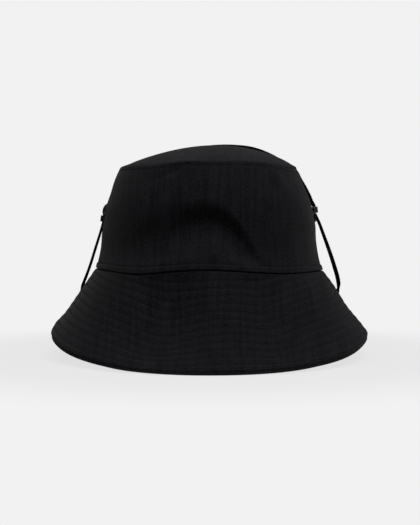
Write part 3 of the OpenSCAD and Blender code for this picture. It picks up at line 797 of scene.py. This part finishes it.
def make_tip():
    """The domed tip and its lining."""
    rhos = np.concatenate([[0.002], graded(0.02, 1, 80, (TIP_STITCH, 0.99), 0.02)])
    tip = shell("tip_cloth", dome_face, dome_normal, PANEL_T, rhos, ring_angles(300), True, capped=True)
    finish_piece(tip, TWILL, "twill", "tip_panel")
    lining_rhos = np.concatenate([[0.002], graded(0.02, 0.98, 40)])
    inside = lowered(dome_face, dome_normal, 1.3 * MM)
    lining = shell("tip_lining_cloth", inside, dome_normal, LINING_T, lining_rhos, ring_angles(200), True, 1,
                   True)
    finish_piece(lining, LINING, "lining", "tip_lining")


def make_brim():
    """The brim's three layers. Its two cloths have fine grids, for their rows of stitching."""
    rows = graded(0, 1, 190, (0.985, 0.012), 0.015)
    top = shell("brim_top_cloth", brim_face, brim_normal, inside_brim(LAYER_T), rows, ring_angles(400), True,
                8)
    finish_piece(top, TWILL, "twill", "brim_top_layer")
    stiff = shell("brim_interlining_cloth", inside_brim(0.75 * MM), brim_normal, inside_brim(1.15 * MM),
                  graded(0.02, 0.97, 60), ring_angles(240), True, 2)
    finish_piece(stiff, STIFFENER, "interlining", "brim_interlining")
    under = shell("brim_under_cloth", inside_brim(1.25 * MM), brim_normal, brim_under,
                  graded(0, 0.992, 130, (0.98,), 0.012), ring_angles(330), True, 1)
    finish_piece(under, TWILL, "twill", "brim_under_layer")


def make_inside():
    """The sweatband, the tape over the base seam, and the blank label."""
    band = wall_sheet("sweatband_cloth", 1.7 * MM, 1.1 * MM, 0.03, 0.405, ring_angles(240), True, 30)
    finish_piece(band, BAND, "sweatband", "sweatband")
    tape = wall_sheet("base_seam_tape_cloth", 2.95 * MM, LINING_T, 0.005, 0.10, ring_angles(240), True, 12)
    finish_piece(tape, LINING, "lining", "base_seam_tape")
    angles = np.radians(np.linspace(174, 186, 24))
    label = wall_sheet("care_label_cloth", 3.05 * MM, 0.3 * MM, 0.14, 0.34, angles, False, 16)
    finish_piece(label, LABEL, "label", "care_label")


make_crown()
make_tip()
make_brim()
make_inside()


# ---------------------------------------------------------------- stitching

def around(face, outward, share, parts=1400):
    """A line round the hat on one of its surfaces, with the normals along it."""
    a = np.linspace(-np.pi, np.pi, parts)
    u = np.full(parts, share)
    return face(u, a), outward(u, a)


def row_runs(row):
    """The angles of each stretch of a row of stitching that lies below the base seam."""
    a = np.linspace(-np.pi, np.pi, 1400)
    turns = np.flatnonzero(np.diff(row_share(row, a) > HIDDEN_ROW)) + 1
    return [run for run in np.split(a, turns) if row_share(row, run).min() > HIDDEN_ROW]


ROW_STITCH, ROW_GAP = 1.95 * MM, 0.5 * MM
SEAM_STITCH, SEAM_GAP = 2.1 * MM, 1.25 * MM


def make_stitching():
    """The brim's rows of stitching on both its faces, and those along the base seam and the tip seam."""
    rows, under_rows, hole_shades = [], [], []
    for row in range(ROWS):
        for a in row_runs(row):
            share, normals = row_share(row, a), brim_normal(row_share(row, a), a)
            points = brim_face(share, a)
            rows.append(thread_row(points, normals, ROW_STITCH, ROW_GAP, 0.50 * MM, 5))
            # Dark beads between the stitches are painted shade in the needle holes.
            hole_shades.append(painted_hole_shade(points, normals, ROW_STITCH + ROW_GAP, 1.0 * MM, 0.8 * MM, 0.3 * MM))
            under_rows.append(thread_row(brim_under(share, a), -normals, ROW_STITCH, ROW_GAP, 0.42 * MM, 5))
    # The brim's thread is darkened with painted shade of its grooves.
    finish_piece(stitching("brim_top_stitches", rows), SHADED_ROW_THREAD, "thread", "brim_stitching")
    finish_piece(stitching("brim_under_stitches", under_rows), SHADED_ROW_THREAD, "thread", "brim_stitching")
    finish_piece(stitching("brim_painted_hole_shade", hole_shades), HOLE_SHADE, "thread", "brim_stitching")
    for name, lines in (("base_seam", [(wall_face, wall_normal, WALL_STITCH)]),
                        ("tip_seam", [(wall_face, wall_normal, TIP_WALL_STITCH),
                                      (dome_face, dome_normal, TIP_STITCH)])):
        paths = [around(*line) for line in lines]
        rows = [thread_row(*path, SEAM_STITCH, SEAM_GAP, 0.55 * MM) for path in paths]
        # The seams' lighter thread is a painted highlight.
        finish_piece(stitching(f"{name}_stitches", rows), HIGHLIT_SEAM_STITCHES, "thread", f"{name}_stitching")
        # Dark beads between the seam stitches are painted shade in the needle holes.
        hole_shades = [painted_hole_shade(*path, SEAM_STITCH + SEAM_GAP, 1.35 * MM, 1.2 * MM, 0.6 * MM)
                 for path in paths]
        finish_piece(stitching(f"{name}_painted_hole_shade", hole_shades), HOLE_SHADE, "thread", f"{name}_stitching")


make_stitching()


# ---------------------------------------------------------------- metal and plastic pieces

def rounded(node, width, material):
    """A CAD solid with its edges rounded and its material set. It isn't moved."""
    obj = bpy.data.objects[node]
    weld = obj.modifiers.new("weld", "WELD")
    weld.merge_threshold = 0.005 * MM
    bevel = obj.modifiers.new("bevel", "BEVEL")
    bevel.width = width
    bevel.segments = 3
    bevel.limit_method = "ANGLE"
    bevel.angle_limit = math.radians(35)
    bevel.harden_normals = True
    obj.data.materials.clear()
    obj.data.materials.append(material)
    obj.data.polygons.foreach_set("use_smooth", [True] * len(obj.data.polygons))


def make_hardware():
    """The guides with their rivets and backing plates, and the lock's two plastic pieces."""
    for word in ("left", "right"):
        rounded(f"guide_{word}", 0.25 * MM, GUNMETAL)
        rounded(f"guide_rivets_{word}", 0.3 * MM, GUNMETAL)
        rounded(f"guide_backing_{word}", 0.25 * MM, GUNMETAL)
    rounded("lock_barrel", 0.5 * MM, PLASTIC)
    rounded("lock_plunger", 0.4 * MM, PLASTIC)


def make_spring():
    """The lock's spring as it is with the button out."""
    low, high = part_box("lock_barrel")
    centre_y, centre_z = (low.y + high.y) / 2, (low.z + high.z) / 2
    start, end, turns = low.x + 1.4 * MM, low.x + 8.7 * MM, 5
    t = np.linspace(0, 1, 420)
    radius, wire = 3 * MM, 0.6 * MM
    line = np.stack([mix(start + wire / 2, end - wire / 2, t), centre_y + radius * np.cos(TURN * turns * t),
                     centre_z + radius * np.sin(TURN * turns * t)], axis=1)
    spring = braid("lock_spring_wire", line, [(0, (1, 0, 0)), (1, (1, 0, 0))], wire, wire, 12, 0)
    finish_piece(spring, SPRING, "spring_steel", "lock_spring", body="lock")
    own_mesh(spring)


make_hardware()
make_spring()


# ---------------------------------------------------------------- floor and light

def unlit_by(obj):
    """Keeps a stage object from lighting the hat, so that only the lamps and the world do."""
    obj.visible_diffuse = False
    obj.visible_glossy = False


def make_floor():
    """A pale floor that takes a soft shadow and fades into the background behind it."""
    bpy.ops.mesh.primitive_plane_add(size=4)
    floor = bpy.context.object
    floor.name = "floor"
    material, tree, shader = node_material("paper", 1.0)
    shader.inputs["Base Color"].default_value = (FLOOR_WHITE, FLOOR_WHITE, FLOOR_WHITE, 1)
    shader.inputs["Specular IOR Level"].default_value = 0
    glow = add(tree, "ShaderNodeEmission", Color=(BACKGROUND, BACKGROUND, BACKGROUND, 1), Strength=1.0)
    blend = add(tree, "ShaderNodeMixShader", i0=0.82, i1=shader.outputs[0], i2=glow.outputs[0])
    place = add(tree, "ShaderNodeTexCoord").outputs["Object"]
    distance = add(tree, "ShaderNodeVectorMath", set_operation="LENGTH", i0=place).outputs["Value"]
    fade = add(tree, "ShaderNodeMapRange", i0=distance, i1=0.17, i2=0.32,
               set_interpolation_type="SMOOTHSTEP")
    clear = add(tree, "ShaderNodeBsdfTransparent")
    edge = add(tree, "ShaderNodeMixShader", i0=fade.outputs[0], i1=blend.outputs[0], i2=clear.outputs[0])
    tree.links.new(edge.outputs[0], tree.nodes["Material Output"].inputs[0])
    floor.data.materials.append(material)
    unlit_by(floor)


def make_backdrop():
    """An evenly bright shell round the whole scene."""
    bpy.ops.mesh.primitive_uv_sphere_add(radius=8, segments=64, ring_count=32)
    backdrop = bpy.context.object
    backdrop.name = "backdrop"
    material, tree, _ = node_material("backdrop_white", 1.0)
    glow = add(tree, "ShaderNodeEmission", Color=(BACKGROUND, BACKGROUND, BACKGROUND, 1), Strength=1.0)
    tree.links.new(glow.outputs[0], tree.nodes["Material Output"].inputs[0])
    backdrop.data.materials.append(material)
    backdrop.visible_shadow = False
    unlit_by(backdrop)


def ramp(tree, value, start, end, low, high):
    """A value that goes from low at start to high at end."""
    return add(tree, "ShaderNodeMapRange", i0=value, i1=start, i2=end, i3=low, i4=high).outputs[0]


def make_world():
    """Soft light from all round: stronger from above, the sides and behind than from the front or below."""
    world = bpy.data.worlds.new("studio")
    world.use_nodes = True
    tree = world.node_tree
    place = add(tree, "ShaderNodeTexCoord").outputs["Generated"]
    split = add(tree, "ShaderNodeSeparateXYZ", Vector=place)
    above = ramp(tree, split.outputs[2], -0.5, 0.8, 0.0, 0.26)
    slanting = maths(tree, "ADD", maths(tree, "ABSOLUTE", split.outputs[0]), split.outputs[2])
    beside = ramp(tree, slanting, 0.95, 1.4, 0.0, 0.24)
    behind = ramp(tree, split.outputs[1], 0.3, 0.95, 0.0, 0.20)
    both = maths(tree, "ADD", above, beside)
    tree.links.new(maths(tree, "ADD", both, behind), tree.nodes["Background"].inputs[0])
    scene.world = world
    scene.view_settings.view_transform = "Standard"


def soft_light(name, place, target, size, power):
    """A rectangular lamp that faces a target."""
    data = bpy.data.lights.new(name, "AREA")
    data.shape = "RECTANGLE"
    data.size, data.size_y = size
    data.energy = power
    lamp = bpy.data.objects.new(name, data)
    scene.collection.objects.link(lamp)
    lamp.location = place
    lamp.rotation_euler = (Vector(target) - Vector(place)).to_track_quat("-Z", "Y").to_euler()


BACKGROUND = 0.887
FLOOR_WHITE = 0.66
make_floor()
make_backdrop()
make_world()
soft_light("front_softbox", (0.35, -1.0, 1.5), (0, 0, 0.08), (0.9, 0.9), 14)
